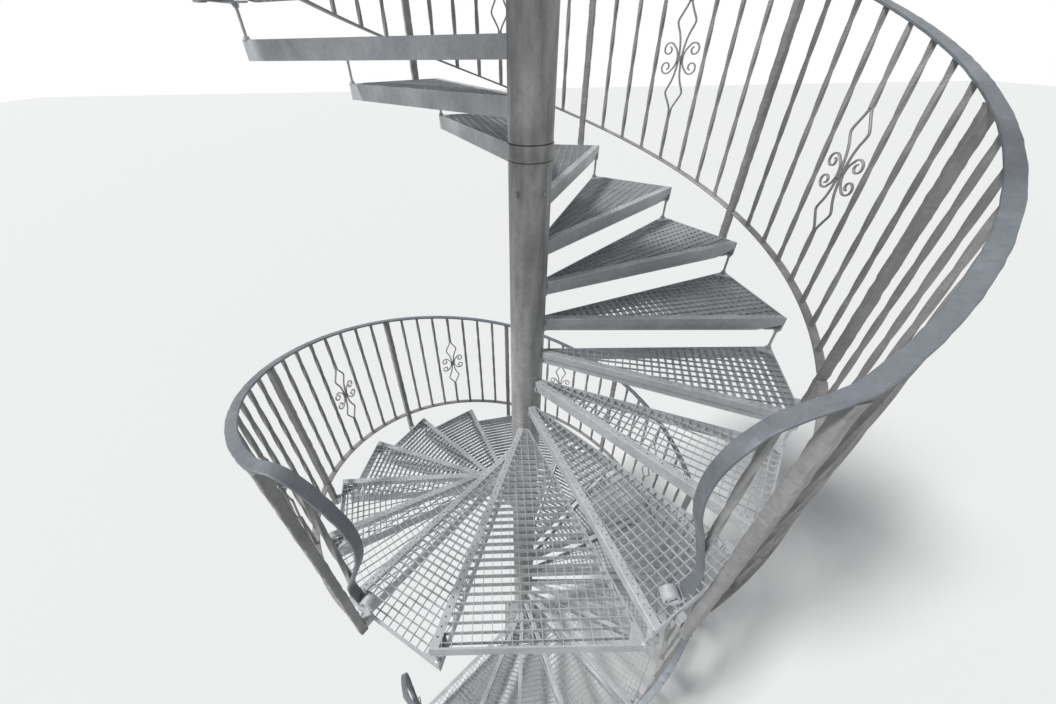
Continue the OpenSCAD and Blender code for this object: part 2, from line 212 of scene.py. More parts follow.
def moved(shell, origin, out):
    """A shell made round Z, carried to an origin with its Z turned to point out: X goes to a side
    square to out, and Y to out crossed with that side."""
    points, faces = shell
    out = unit(np.array(out, float))
    other = np.array([0, 0, 1.0]) if abs(out[2]) < 0.9 else np.array([1.0, 0, 0])
    side = unit(np.cross(other, out))
    return np.outer(points[:, 0], side) + np.outer(points[:, 1], np.cross(out, side)) \
        + np.outer(points[:, 2], out) + np.array(origin), faces


def hex_bolt(thread):
    """A round washer with a six-sided head on it, about Z. Radii and heights are given as shares of
    the thread's diameter."""
    washer = thread * np.array([(0.6, 0), (1.1, 0), (1.15, 0.1), (1.1, 0.2), (0.5, 0.2)])
    head = thread * np.array([(0.8, 0.2), (0.92, 0.26), (0.92, 0.78), (0.8, 0.85)])
    return [lathe(washer, 16), lathe(head, 6)]


pole_radius = 0.0795


def round_pole(profile, height):
    """A profile of (distance from the pole's face, height) points turned round the pole."""
    return moved(lathe(np.array(profile) + [pole_radius, 0], 96), (0, 0, height), (0, 0, 1))


rise = 0.168
treads_lower = 17
storey = (treads_lower + 1) * rise
weld_bead = [(-0.004, -0.004), (0.0008, -0.003), (0.0022, 0.0), (0.0008, 0.003), (-0.004, 0.004)]
collar = [(-0.003, -0.0255), (0.0022, -0.0255), (0.0032, -0.024),
          (0.0032, 0.024), (0.0022, 0.0255), (-0.003, 0.0255)]
seam = [(-0.003, -0.0018), (0.0012, -0.0018), (0.0016, 0.0), (0.0012, 0.0018), (-0.003, 0.0018)]
bead_height, collar_height = 0.045, 0.016        # above the landing and above a step
seam_to_middle = 0.0271
steps_to_joint = 8
bolt_drop, pole_thread = 0.115, 0.010
bolt_turns = (-128, -52, 52, 128)
zinc_pole = zinc("zinc_pole", 0.37, (1.0, 0.995, 0.975), crystal=60, runs=1.0, rough=0.55)
seam_stain = zinc("seam_stain", 0.075, (1.25, 0.98, 0.70), crystal=200, runs=0.8, rough=0.8,
                  metallic=0.0)
for node in ("base_plate", "pole_ground", "pole_lower", "pole_middle", "pole_upper", "pole_cap"):
    dress(node, zinc_pole)
collars, seams, pole_bolts = [round_pole(weld_bead, storey + bead_height)], [], []
for level in (storey - steps_to_joint * rise, storey + steps_to_joint * rise):
    middle = level + collar_height
    collars.append(round_pole(collar, middle))
    seams += [round_pole(seam, middle - seam_to_middle), round_pole(seam, middle + seam_to_middle)]
    for turn in np.radians(bolt_turns):
        out = np.array([math.cos(turn), math.sin(turn), 0])
        place = pole_radius * out + [0, 0, level - bolt_drop]
        pole_bolts += [moved(shell, place, out) for shell in hex_bolt(pole_thread)]
piece("pole_collars", collars, zinc_pole, smooth=True)
piece("pole_bolts", pole_bolts, zinc_pole, smooth=True)
piece("pole_seams", seams, seam_stain, smooth=True)

# ---------------------------------------------------------------- base bolts
# Four threaded steel anchors come up out of the footing through the square base plate, and a
# washer and a nut on each hold it down.
anchor_spacing, anchor_thread = 0.290, 0.016
base_top, stud_foot = 0.015, 0.012
stud = [(0.0, 0.0), (0.0078, 0.0), (0.0078, 0.03), (0.0065, 0.032), (0.0, 0.032)]
anchors = []
for x in (-anchor_spacing / 2, anchor_spacing / 2):
    for y in (-anchor_spacing / 2, anchor_spacing / 2):
        anchors += [moved(shell, (x, y, base_top), (0, 0, 1)) for shell in hex_bolt(anchor_thread)]
        anchors.append(moved(lathe(stud, 16), (x, y, stud_foot), (0, 0, 1)))
piece("base_anchors", anchors, zinc_pole, smooth=True)

# ---------------------------------------------------------------- treads
# A tread is a wedge of pressed bar grating welded into a flat-bar frame, its bars square to the
# middle of the wedge. Its front edge is a folded nosing with two staggered rows of punched holes.
# The whole wedge was dipped in zinc, and every second one carries a spacer block for a post.
step = math.radians(23)
treads_upper = 14
landing_start, landing_turn = math.radians(-109), math.radians(38)
upper_start = landing_start + landing_turn
flights = (("lower", landing_start - treads_lower * step, 0.0, treads_lower),
           ("upper", upper_start, storey, treads_upper))
tread_radius = 1.162
rear_radius = tread_radius + 0.008
nose_lead = 0.020
nose_turn = math.asin(nose_lead / tread_radius)
wedge_angle = math.radians(23.8)
frame_height = 0.066
plate = 0.005
overlap = 0.001        # how far a welded end runs into the pole
# Painted sunlight: the treads' zinc is a lighter copy of the zinc on the pole and rails, as if
# their tops stood in sun. The landings, corner rods and handrail rolls share it.
zinc_tread_painted_sunlit = zinc("zinc_tread_painted_sunlit", 0.50, (0.97, 1.0, 1.03), crystal=110, runs=0.2, rough=0.45)


def turned(shell, angle, lift=0.0):
    """The same shell turned about the pole by an angle in radians, and lifted."""
    points, faces = shell
    c, s = math.cos(angle), math.sin(angle)
    matrix = np.array([[c, s, 0], [-s, c, 0], [0, 0, 1]])
    return points @ matrix + [0, 0, lift], faces


def heading(angle):
    """The level unit vector at an angle from X."""
    return np.array([math.cos(angle), math.sin(angle)])


def tuck(p, a, b, d):
    """Corner p moved in so that both sides through a and b shift by d."""
    u, v = unit(a - p), unit(b - p)
    return p + (u + v) * d / abs(u[0] * v[1] - u[1] * v[0])


def wedge(w, d):
    """Apex, front corner and rear corner of a wedge of turn w, with all sides drawn in by d."""
    o = np.array([0.0, -nose_lead])
    f = np.array([tread_radius * math.cos(nose_turn), -nose_lead])
    r = o + rear_radius * heading(w)
    return np.array([tuck(o, f, r, d), tuck(f, o, r, d), tuck(r, o, f, d)])


def clipped(corners, start, along):
    """Where the lines start + t * along enter and leave a triangle: for each side the crossing t is
    solved, and the last way in and the first way out are kept."""
    far, parallel = 9.0, 1e-9
    t_in, t_out = np.full(len(start), -far), np.full(len(start), far)
    for a, b in zip(corners, np.roll(corners, -1, axis=0)):
        inward = np.array([-(b - a)[1], (b - a)[0]])
        speed = along @ inward
        gap = (start - a) @ inward
        if speed > parallel:
            t_in = np.maximum(t_in, -gap / speed)
        elif speed < -parallel:
            t_out = np.minimum(t_out, -gap / speed)
        else:
            t_in = np.where(gap < 0, far, t_in)
    return t_in, t_out


def flat_bars(a, b, thick, top, bottom):
    """Upright flat bars between points a and b (n, 2): each is a box of that thickness."""
    u = (b - a) / np.linalg.norm(b - a, axis=1, keepdims=True)
    n = np.stack([-u[:, 1], u[:, 0]], -1) * thick / 2
    ring = np.stack([a - n, b - n, b + n, a + n], 1)
    levels = [np.full(ring.shape[:2] + (1,), height) for height in (bottom, top)]
    points = np.concatenate([np.concatenate([ring, level], -1) for level in levels], 1)
    box = np.array([[0, 3, 2, 1], [4, 5, 6, 7],
                    [0, 1, 5, 4], [1, 2, 6, 5], [2, 3, 7, 6], [3, 0, 4, 7]])
    faces = (np.arange(len(a))[:, None, None] * 8 + box).reshape(-1, 4)
    return points.reshape(-1, 3), [faces]


def grating(w):
    """Deep bars across the wedge and shallow ones along it, both square to its middle line, cut to
    the middle of the frame's plates. The shallow ones stop at the pole's face."""
    thick, shortest, off_pole = 0.0022, 0.008, 0.01
    deep_pitch, shallow_pitch = 0.0324, 0.0360
    deep_places, shallow_places = -deep_pitch * np.arange(3, 37), shallow_pitch * np.arange(-14, 15)
    corners = wedge(w, plate / 2)
    shells = []
    for direction, places, top, bottom, stops_at_pole in (
            (w / 2 + math.pi / 2, deep_places, -0.0006, -0.028, False),
            (w / 2, shallow_places, -0.0009, -0.010, True)):
        along = heading(direction)
        start = places[:, None] * np.array([-along[1], along[0]])
        t0, t1 = clipped(corners, start, along)
        a, b = start + t0[:, None] * along, start + t1[:, None] * along
        keep = (t1 - t0 > shortest) & (np.hypot(*b.T) > pole_radius + off_pole)
        start, a, b = start[keep], a[keep], b[keep]
        if stops_at_pole:
            near = np.hypot(*a.T) < pole_radius
            reach = np.sqrt(pole_radius ** 2 - np.sum(start[near] ** 2, 1)) - overlap
            a[near] = start[near] + reach[:, None] * along
        shells.append(flat_bars(a, b, thick, top, bottom))
    return shells


def nosing(w):
    """The folded front edge: its profile is swept from the pole to the outer plate in half pitches,
    and its lip rises towards that plate. In its flat top each punched hole is a ring of six faces
    joined to one underneath."""
    sheet, hole_pitch, hole_radius = 0.003, 0.0343, 0.0036
    hole_rows = ((0.009, 0.0195), (0.0195, 0.0305))
    first_cell, last_gap = 0.104, 0.006
    lip_top, lip_run, lip_lift = -0.05, 0.10, 0.024
    profile = np.array([
        (0.0, -0.002), (0.0006, -0.0006), (0.002, 0.0), (0.009, 0.0), (0.0195, 0.0), (0.0305, 0.0),
        (0.032, -0.0004), (0.032, -0.003), (0.0305, -0.003), (0.0195, -0.003), (0.009, -0.003),
        (0.003, -0.003), (0.003, -0.030), (0.010, -0.030), (0.010, -0.066), (0.007, -0.066),
        (0.007, -0.0335), (0.0, -0.0335)])[::-1]
    m = len(profile)
    y = profile[:, 0] - nose_lead
    front, rear = wedge(w, 0.002)[1:]
    lean = (rear[0] - front[0]) / (rear[1] - front[1])
    end = front[0] + (y - front[1]) * lean
    start = np.sqrt(pole_radius ** 2 - y ** 2) - overlap
    stations = np.arange(first_cell, end.min() - last_gap, hole_pitch / 2)
    x = np.vstack([start[None], np.repeat(stations[:, None], m, 1), end[None]])
    n = len(x)
    z = np.repeat(profile[None, :, 1], n, 0).copy()
    lip = profile[:, 1] < lip_top
    z[:, lip] += np.clip((x[:, lip] - (end.min() - lip_run)) / lip_run, 0, 1) * lip_lift
    points = np.stack([x, np.repeat(y[None], n, 0), z], -1).reshape(-1, 3)
    i, j = np.meshgrid(np.arange(n - 1), np.arange(m), indexing="ij")
    k = (j + 1) % m
    walls = np.stack([i * m + j, (i + 1) * m + j, (i + 1) * m + k, i * m + k], -1)
    solid = np.ones((n - 1, m), bool)
    a = np.radians([-150, -90, -30, 30, 90, 150])
    circle = np.stack([np.cos(a), np.sin(a), 0 * a], -1) * hole_radius
    added, rings = [points], []
    next_point = len(points)
    for row, sides in enumerate(hole_rows):
        cells = np.arange(1 + row, n - 3, 2)
        inner = {}
        for height in (0.0, -sheet):
            ja, jb = (int(np.argmin(np.hypot(*(profile - (s, height)).T))) for s in sides)
            solid[cells, min(ja, jb)] = solid[cells + 1, min(ja, jb)] = False
            edge = np.stack([cells * m + ja, (cells + 1) * m + ja, (cells + 2) * m + ja,
                             (cells + 2) * m + jb, (cells + 1) * m + jb, cells * m + jb], -1)
            centre = points[edge].mean(1)
            added.append((centre[:, None] + circle).reshape(-1, 3))
            inner[height] = next_point + np.arange(len(cells) * 6).reshape(-1, 6)
            next_point += len(cells) * 6
            ring = np.stack([edge, np.roll(edge, -1, 1), np.roll(inner[height], -1, 1),
                             inner[height]], -1)
            rings.append((ring if height == 0 else ring[..., ::-1]).reshape(-1, 4))
        high, low = inner[0.0], inner[-sheet]
        wall = np.stack([high, np.roll(high, -1, 1), np.roll(low, -1, 1), low], -1)
        rings.append(wall.reshape(-1, 4))
    caps = [np.arange(m)[None], (n - 1) * m + np.arange(m)[::-1][None]]
    return np.concatenate(added), [walls[solid], np.concatenate(rings)] + caps


def slab(plan, *heights):
    """An upright plate: its plan, anticlockwise from above, is repeated at each height."""
    m, last = len(plan), len(heights) - 1
    points = np.concatenate([np.concatenate([plan, np.full((m, 1), h)], 1) for h in heights])
    j = np.arange(m)
    k = (j + 1) % m
    walls = [np.stack([i * m + j, i * m + k, (i + 1) * m + k, (i + 1) * m + j], -1)
             for i in range(last)]
    return points, walls + [j[::-1][None], last * m + j[None]]


def frame_plates(w):
    """The rear, outer and end plates as one upright outline: along the frame's inside from the pole
    to the outer corner, and back along its outside. Their tops stand a little over the bars', so
    that no two faces lie in one plane."""
    o, f, r = wedge(w, 0.0)
    inner = tuck(r, o, f, plate)
    into_pole, off_pole = pole_radius - 0.004, pole_radius + 0.006
    plan = np.array([
        (into_pole, -nose_lead), (off_pole, -nose_lead),
        (off_pole, inner[1] + (off_pole - inner[0]) * math.tan(w)), inner,
        tuck(f, o, r, plate) - [0, plate], f, r, o + into_pole / math.cos(w) * heading(w)])
    return slab(plan, -frame_height, -0.0009, -0.0003)


def corner_plates(w):
    """Two flat plates for the corner rods, one low in the front corner and one on top in the rear
    corner: each runs along the outer plate and along the other side that meets it there."""
    f, r = wedge(w, 0.002)[1:]
    d, b = unit(r - f), heading(w)
    outer_leg, other_leg = 0.07, 0.075
    front = np.array([f + d * outer_leg, f + [-other_leg, 0.022],
                      f + [-other_leg, 0.0064], f + d * 0.0065])
    rear = np.array([r - d * outer_leg, r - b * other_leg - d * 0.015, r - b * other_leg, r])
    return [slab(front[::-1], -frame_height + 0.0005, -frame_height + 0.006),
            slab(rear[::-1], -0.006, 0.0)]


rail_radius = 1.190
post_width = 0.035
quarter = step / 4


def post_treads(count):
    """The treads that carry a post: every second one, and the last."""
    return sorted(set(range(1, count + 1, 2)) | {count})


def post_block():
    """The spacer block between the outer plate and a post, a quarter step behind the nosing."""
    inner, outer = tread_radius - 0.030, rail_radius - post_width / 2
    half_width, half_height = 0.015, 0.022
    plan = np.array([(inner, -half_width), (outer, -half_width),
                     (outer, half_width), (inner, half_width)])
    block = slab(plan, -frame_height / 2 - half_height, -frame_height / 2 + half_height)
    return turned(block, quarter - nose_turn)


def tread_shells(w):
    """All parts of a wedge of turn w, with its front edge along X and its top at height 0."""
    return [nosing(w), frame_plates(w)] + grating(w) + corner_plates(w)


plain_tread = tread_shells(wedge_angle)
post_tread = plain_tread + [post_block()]
for flight, start, base, count in flights:
    for k in range(1, count + 1):
        shells = post_tread if k in post_treads(count) else plain_tread
        at = start + (k - 1) * step + nose_turn
        shells = [turned(shell, at, base + k * rise) for shell in shells]
        made = piece("step_%s_%02d" % (flight, k), shells, zinc_tread_painted_sunlit)
        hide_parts("tread_%s_%02d" % (flight, k))

# ---------------------------------------------------------------- landings
# Each landing is a wider wedge of the same grating in the same welded frame, dipped in zinc. It
# closes a flight, and its bars run square to the way on to it.
landing_shells = tread_shells(landing_turn + wedge_angle - step)
top_floor = storey + (treads_upper + 1) * rise
for node, start, level in (("landing_first", landing_start, storey),
                           ("landing_top", upper_start + treads_upper * step, top_floor)):
    shells = [turned(shell, start + nose_turn, level) for shell in landing_shells]
    made = piece(node + "_grating", shells, zinc_tread_painted_sunlit)
    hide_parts(node)

# ---------------------------------------------------------------- corner rods
# A round rod ties each tread's rear outer corner to the front corner of the next tread up, with a
# washer and a nut on the plate at each end. The rods are the frame's own solids.
rod_turn, rod_radius, rod_thread = math.radians(0.45), tread_radius - 0.015, 0.012
rod_ends = []
for flight, start, base, count in flights:
    dress("corner_rods_" + flight, zinc_tread_painted_sunlit)
    for k in range(0 if flight == "upper" else 1, count + 1):
        at = rod_radius * heading(start + k * step + rod_turn)
        foot = np.array([at[0], at[1], base + k * rise])
        for shell in hex_bolt(rod_thread):
            rod_ends.append(moved(shell, foot, (0, 0, 1)))
            rod_ends.append(moved(shell, foot + [0, 0, rise - frame_height], (0, 0, -1)))
piece("rod_nuts", rod_ends, zinc_tread_painted_sunlit, smooth=True)

# ---------------------------------------------------------------- posts
# Posts are square steel tube with hammered edges, dipped in zinc. One stands outside every second
# tread, against its spacer block, and rises to the handrail.
post_chamfer, post_spacing, post_dents = 0.004, 0.009, 0.0026
handrail_height, handrail_thickness = 0.982, 0.010
slope_per_turn = rise / step
zinc_rail = zinc("zinc_rail", 0.31, (1.0, 1.0, 0.98), crystal=90, runs=0.4, rough=0.5)


def nosing_height(a):
    """Height of the nosing line at an angle counted from the flight's first corner."""
    return rise + a * slope_per_turn


def chamfered(w, h, c):
    """The outline of a bar of half width w and half thickness h, its corners cut by c."""
    return [(w, -h + c), (w, h - c), (w - c, h), (-w + c, h),
            (-w, h - c), (-w, -h + c), (-w + c, -h), (w - c, -h)]


def wave(count, spacing, depth, seed):
    """A random row between 0 and depth: random values some stations apart, joined by lines."""
    knots = np.random.default_rng(seed).random(count // spacing + 2) * depth
    return np.interp(np.arange(count) / spacing, np.arange(len(knots)), knots)


def upright(angle, z0, z1, width, chamfer, spacing,
            twist=0.0, dents=0.0, seed=0, radius=rail_radius):
    """A square bar that stands on the railing circle: its outline is turned about its own axis by
    twist for each metre of height, and dents draw its four corners in by random amounts."""
    n = max(2, int(round((z1 - z0) / spacing)) + 1)
    z = np.linspace(z0, z1, n)
    x, y = radius * heading(angle)
    centre = np.stack([np.full(n, x), np.full(n, y), z], -1)
    spin = angle + twist * (z - z0)
    side = np.stack([np.cos(spin), np.sin(spin), 0 * spin], -1)
    up = np.stack([-np.sin(spin), np.cos(spin), 0 * spin], -1)
    square = np.array(chamfered(width / 2, width / 2, chamfer))
    outline = np.repeat(square[None], n, 0)
    if dents:
        depth = np.stack([wave(n, 3, dents, seed + 7 * i) + wave(n, 1, dents / 3, seed + 7 * i + 3)
                          for i in range(4)], -1)
        depth[[0, -1]] = 0
        outline = outline * (1 - np.repeat(depth, 2, 1)[..., None] / (width / 2))
    return carry(centre, side, up, outline)


for index, (flight, start, base, count) in enumerate(flights):
    shells = []
    for k in post_treads(count):
        a = (k - 1) * step + quarter
        foot = base + k * rise - frame_height
        top = base + nosing_height(a) + handrail_height - handrail_thickness / 2
        shells.append(upright(start + a, foot, top, post_width, post_chamfer, post_spacing,
                              dents=post_dents, seed=1000 * index + 40 * k))
    made = piece("hammered_posts_" + flight, shells, zinc_rail)
    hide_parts("posts_" + flight)

# ---------------------------------------------------------------- balusters
# Balusters are 16 mm square steel bar, twisted hot by a quarter turn every 150 mm and welded
# between the rails. One more at each end stands inside the handrail's bow.
bottom_height, bottom_thickness = 0.083, 0.008
baluster_sunk = 0.003        # how far a bar runs into the rail at each end


def baluster(angle, z0, z1, radius=rail_radius):
    """A square bar between two heights, twisted evenly along its length."""
    width, chamfer, spacing, quarter_turn = 0.016, 0.0015, 0.012, 0.150
    return upright(angle, z0, z1, width, chamfer, spacing,
                   twist=math.pi / 2 / quarter_turn, radius=radius)


def bar_ends(a):
    """Top of the bottom rail and underside of the handrail over an angle of the flight."""
    return (nosing_height(a) + bottom_height + bottom_thickness / 2,
            nosing_height(a) + handrail_height - handrail_thickness / 2)


def smooth_path(points, count):
    """A curve through the points: each stretch is a cubic between two points, whose slope at each
    of them is half the step between its neighbours."""
    p = np.array(points, float)
    p = np.vstack([2 * p[0] - p[1], p, 2 * p[-1] - p[-2]])
    out = []
    for i in range(1, len(p) - 2):
        t = np.linspace(0, 1, count, endpoint=False)[:, None]
        a, b, c, d = p[i - 1:i + 3]
        bend, turn_back = 2 * a - 5 * b + 4 * c - d, 3 * b - a - 3 * c + d
        out.append(0.5 * (2 * b + (c - a) * t + bend * t ** 2 + turn_back * t ** 3))
    out.append(p[-2][None])
    return np.concatenate(out)


# The bows at the handrail's lower (-1) and upper (1) end, as distance ahead of the post and height
# over its tread. Each leaves the railing circle at the post, turned inwards by bow_turn.
pitch_slope = rise / (rail_radius * step)
rail_level = quarter * slope_per_turn + handrail_height
bow_turn = {-1: math.radians(22), 1: math.radians(19)}
bow_points = {
    -1: [(-0.020, rail_level + pitch_slope * 0.020), (0, rail_level), (0.035, 1.012),
         (0.076, 0.991), (0.107, 0.971), (0.134, 0.941), (0.160, 0.897), (0.1775, 0.842),
         (0.184, 0.780), (0.180, 0.730), (0.169, 0.676), (0.141, 0.597), (0.112, 0.498),
         (0.094, 0.436), (0.086, 0.392), (0.0845, 0.352), (0.090, 0.315), (0.097, 0.290),
         (0.099, 0.275), (0.099, 0.260)],
    1: [(-0.020, rail_level - pitch_slope * 0.020), (0, rail_level), (0.030, 1.034),
        (0.065, 1.035), (0.100, 1.018), (0.135, 0.983), (0.165, 0.938), (0.190, 0.893),
        (0.206, 0.846), (0.213, 0.796), (0.2105, 0.746), (0.198, 0.686), (0.175, 0.622),
        (0.140, 0.540), (0.110, 0.470), (0.094, 0.430), (0.089, 0.398), (0.092, 0.365),
        (0.098, 0.343), (0.099, 0.328), (0.099, 0.313)]}


def bow(side, count):
    """The curve through one end's points, without its first and last stretch."""
    return smooth_path(bow_points[side], count)[count:-count]


def on_bow_plane(side, x):
    """Turn from the post and radius of a place x ahead of it. The bow stands in an upright plane,
    so the place is the end of a straight leg, turned inwards, from the post's own place."""
    across, inward = x * math.cos(bow_turn[side]), x * math.sin(bow_turn[side])
    return side * np.arctan2(across, rail_radius - inward), np.hypot(across, rail_radius - inward)


bow_bar_ahead, bow_bar_sunk = 0.108, 0.004
lower_end_ahead = 0.006        # its lower end is cut where the bow is this much further ahead
back_points = 56               # the points past the bow's crest that the bar may meet
for flight, start, base, count in flights:
    shells = []
    posts_at = post_treads(count)
    for k, after in zip(posts_at, posts_at[1:]):
        for j in range(1, 4 * (after - k)):
            if j != 4:
                a = (k - 1) * step + quarter + j * quarter
                z0, z1 = bar_ends(a)
                shells.append(baluster(start + a, base + z0 - baluster_sunk,
                                       base + z1 + baluster_sunk))
    for side, k in ((-1, 1), (1, count)):
        line = bow(side, 8)
        crest = int(np.argmax(line[:, 0]))
        back = line[crest:crest + back_points][::-1]
        high = np.interp(bow_bar_ahead, line[:crest, 0], line[:crest, 1])
        low = np.interp(bow_bar_ahead + lower_end_ahead, back[:, 0], back[:, 1])
        turn, radius = on_bow_plane(side, bow_bar_ahead)
        tread_top = base + k * rise
        shells.append(baluster(start + (k - 1) * step + quarter + turn,
                               tread_top + low - bow_bar_sunk, tread_top + high - baluster_sunk,
                               radius))
    made = piece("twisted_balusters_" + flight, shells, zinc_rail)
    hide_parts("balusters_" + flight)

# ---------------------------------------------------------------- scrolled bars
# The steel bar in the middle of each bay splits into two diamonds on either side of a collar, with
# four curled scrolls of flat bar welded round it.


def ribbon(points, width, thickness, outward, axes, origin):
    """A flat bar along a path (n, 2) in the plane of two axes through origin: its thickness lies in
    that plane, square to the path, and its width across it."""
    points = np.array(points, float)
    t = np.gradient(points, axis=0)
    t /= np.linalg.norm(t, axis=1, keepdims=True)
    u, v = axes
    centre = origin + points[:, :1] * u + points[:, 1:] * v
    normal = -t[:, 1:] * u + t[:, :1] * v
    side = np.repeat(outward[None], len(points), 0)
    along = t[:, :1] * u + t[:, 1:] * v
    if np.dot(np.cross(side[0], normal[0]), along[0]) < 0:
        side = -side
    w, h = width / 2, thickness / 2
    return carry(centre, side, normal, np.array(chamfered(w, h, min(w, h) * 0.4)))


diamond = smooth_path([
    (0.004, -0.222), (0.0055, -0.212), (0.012, -0.196), (0.027, -0.170), (0.041, -0.144),
    (0.038, -0.126), (0.025, -0.100), (0.015, -0.070), (0.009, -0.035), (0.007, -0.012),
    (0.0065, 0.0)], 5)
diamond_reach = 0.215
diamond_bar, curl_bar = (0.009, 0.008), (0.010, 0.006)        # width and thickness
collar_half, collar_width, collar_chamfer, collar_spacing = 0.012, 0.024, 0.005, 0.004
curl_centre, curl_points = (0.062, 0.035), 30
curl_turn = np.radians(np.linspace(150, -250, curl_points))
curl_size = np.linspace(0.029, 0.010, curl_points)
curl = curl_centre + curl_size[:, None] * np.stack([np.cos(curl_turn), np.sin(curl_turn)], -1)
curl = np.vstack([smooth_path([(0.013, -0.004), (0.016, 0.018), (0.024, 0.036)], 4), curl])
for flight, start, base, count in flights:
    shells = []
    for k in range(1, count - 1, 2):
        a = (k - 1) * step + quarter + 4 * quarter
        z0, z1 = bar_ends(a)
        middle = base + (z0 + z1) / 2
        angle = start + a
        out = np.array([math.cos(angle), math.sin(angle), 0])
        axes = (np.array([-math.sin(angle), math.cos(angle), 0]), np.array([0, 0, 1.0]))
        origin = rail_radius * out + [0, 0, middle]
        shells.append(baluster(angle, base + z0 - baluster_sunk, middle - diamond_reach))
        shells.append(baluster(angle, middle + diamond_reach, base + z1 + baluster_sunk))
        for flip in (-1, 1):
            for mirror in (-1, 1):
                shells.append(ribbon(diamond * [mirror, -flip], *diamond_bar, out, axes, origin))
                shells.append(ribbon(curl * [mirror, flip], *curl_bar, out, axes, origin))
        shells.append(upright(angle, middle - collar_half, middle + collar_half, collar_width,
                              collar_chamfer, collar_spacing))
    made = piece("scrolled_bars_" + flight, shells, zinc_rail, smooth=True)
    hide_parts("scroll_bars_" + flight)

# ---------------------------------------------------------------- rails
# The handrail is flat steel bar with hammered edges that follows the climb. At both ends of a
# flight it leaves the railing circle in a bow, turned inwards, and ends in a ribbed roll. The flat
# bottom rail runs from post to post just above the treads.
handrail_width, bottom_width, roll_thickness = 0.038, 0.035, 0.008
point_spacing = 0.006
roll_place = {-1: (0.1285, 0.262), 1: (0.1285, 0.318)}
# Painted shade and painted sky reflection: the handrail's zinc is a darker, bluer copy of the same
# zinc, as if the bar lay in shade under a blue sky.
zinc_handrail_painted_shade = zinc("zinc_handrail_painted_shade", 0.20, (0.91, 1.0, 1.10), crystal=90, runs=0.2, rough=0.5)


def flat_rail(path, start, base, dents, seed, ribs=None):
    """Flat bar along a path whose rows hold the length along the unrolled railing circle, the
    height, the radius, the width, the thickness and a turn. The width points away from the pole,
    swung round Z by the turn, and the thickness is square to the path. dents draw its edges in, and
    ribs, a depth for each row, ridge its underside, which a roll has outermost."""
    along, up, radius, width, thickness, swing = path.T
    angle = start + along / rail_radius
    out = np.stack([np.cos(angle + swing), np.sin(angle + swing), 0 * angle], -1)
    centre = np.stack([radius * np.cos(angle), radius * np.sin(angle), up + base], -1)
    t = np.gradient(centre, axis=0)
    t -= np.sum(t * out, 1, keepdims=True) * out
    t /= np.linalg.norm(t, axis=1, keepdims=True)
    normal = np.cross(t, out)
    corners = chamfered(width / 2, thickness / 2, thickness * 0.22)
    outline = np.stack([np.stack(corner, -1) for corner in corners], 1)
    if dents:
        outline[:, [0, 1, 2, 7], 0] -= wave(len(path), 4, dents, seed)[:, None]
        outline[:, [3, 4, 5, 6], 0] += wave(len(path), 4, dents, seed + 50)[:, None]
        outline[:, [6, 7], 1] += wave(len(path), 3, dents * 0.4, seed + 70)[:, None]
    if ribs is not None:
        rib_count = 9
        across = np.linspace(0, 1, 55)[1:-1]
        under = outline[:, 2:3] + (outline[:, 3:4] - outline[:, 2:3]) * across[None, :, None]
        ridges = 0.5 + 0.5 * np.cos(across * 2 * math.pi * rib_count)
        under[..., 1] -= ribs[:, None] * ridges[None]
        outline = np.concatenate([outline[:, :3], under, outline[:, 3:]], 1)
    return carry(centre, out, normal, outline)


def resampled(path, spacing):
    """The same path with points at an even spacing."""
    run = np.concatenate([[0], np.cumsum(np.linalg.norm(np.diff(path[:, :2], axis=0), axis=1))])
    s = np.linspace(0, run[-1], int(run[-1] / spacing) + 1)
    return np.stack([np.interp(s, run, column) for column in path.T], -1)


def eased(x):
    """The bar's swing from square to the circle, 100 mm before the post, to square to the bow's
    plane, 70 mm past it: rises from 0 to 1 over that length, level at both ends."""
    u = np.clip((x + 0.10) / 0.17, 0, 1)
    return u * u * (3 - 2 * u)


def end_rows(side, s, foot, flat):
    """Path rows of a handrail's end from distance ahead of the post and height over the tread. The
    bar swings towards the bow's plane, and thins out between 0.6 and 0.3 m over the tread."""
    x, h = flat.T
    turn, radius = on_bow_plane(side, x)
    swing = side * bow_turn[side] * eased(x) - turn
    thinned = np.clip((h - 0.30) / 0.30, 0, 1)
    thick = roll_thickness + (handrail_thickness - roll_thickness) * thinned
    width = np.full(len(x), handrail_width)
    return np.stack([s + rail_radius * turn, foot + h, radius, width, thick, swing], -1)


def climbing(a, height, width, thickness, swing):
    """Path rows of a rail on the railing circle, at a height over the nosing line."""
    ones = np.ones(len(a))
    return np.stack([a * rail_radius, nosing_height(a) + height, rail_radius * ones, width * ones,
                     thickness * ones, swing * ones], -1)


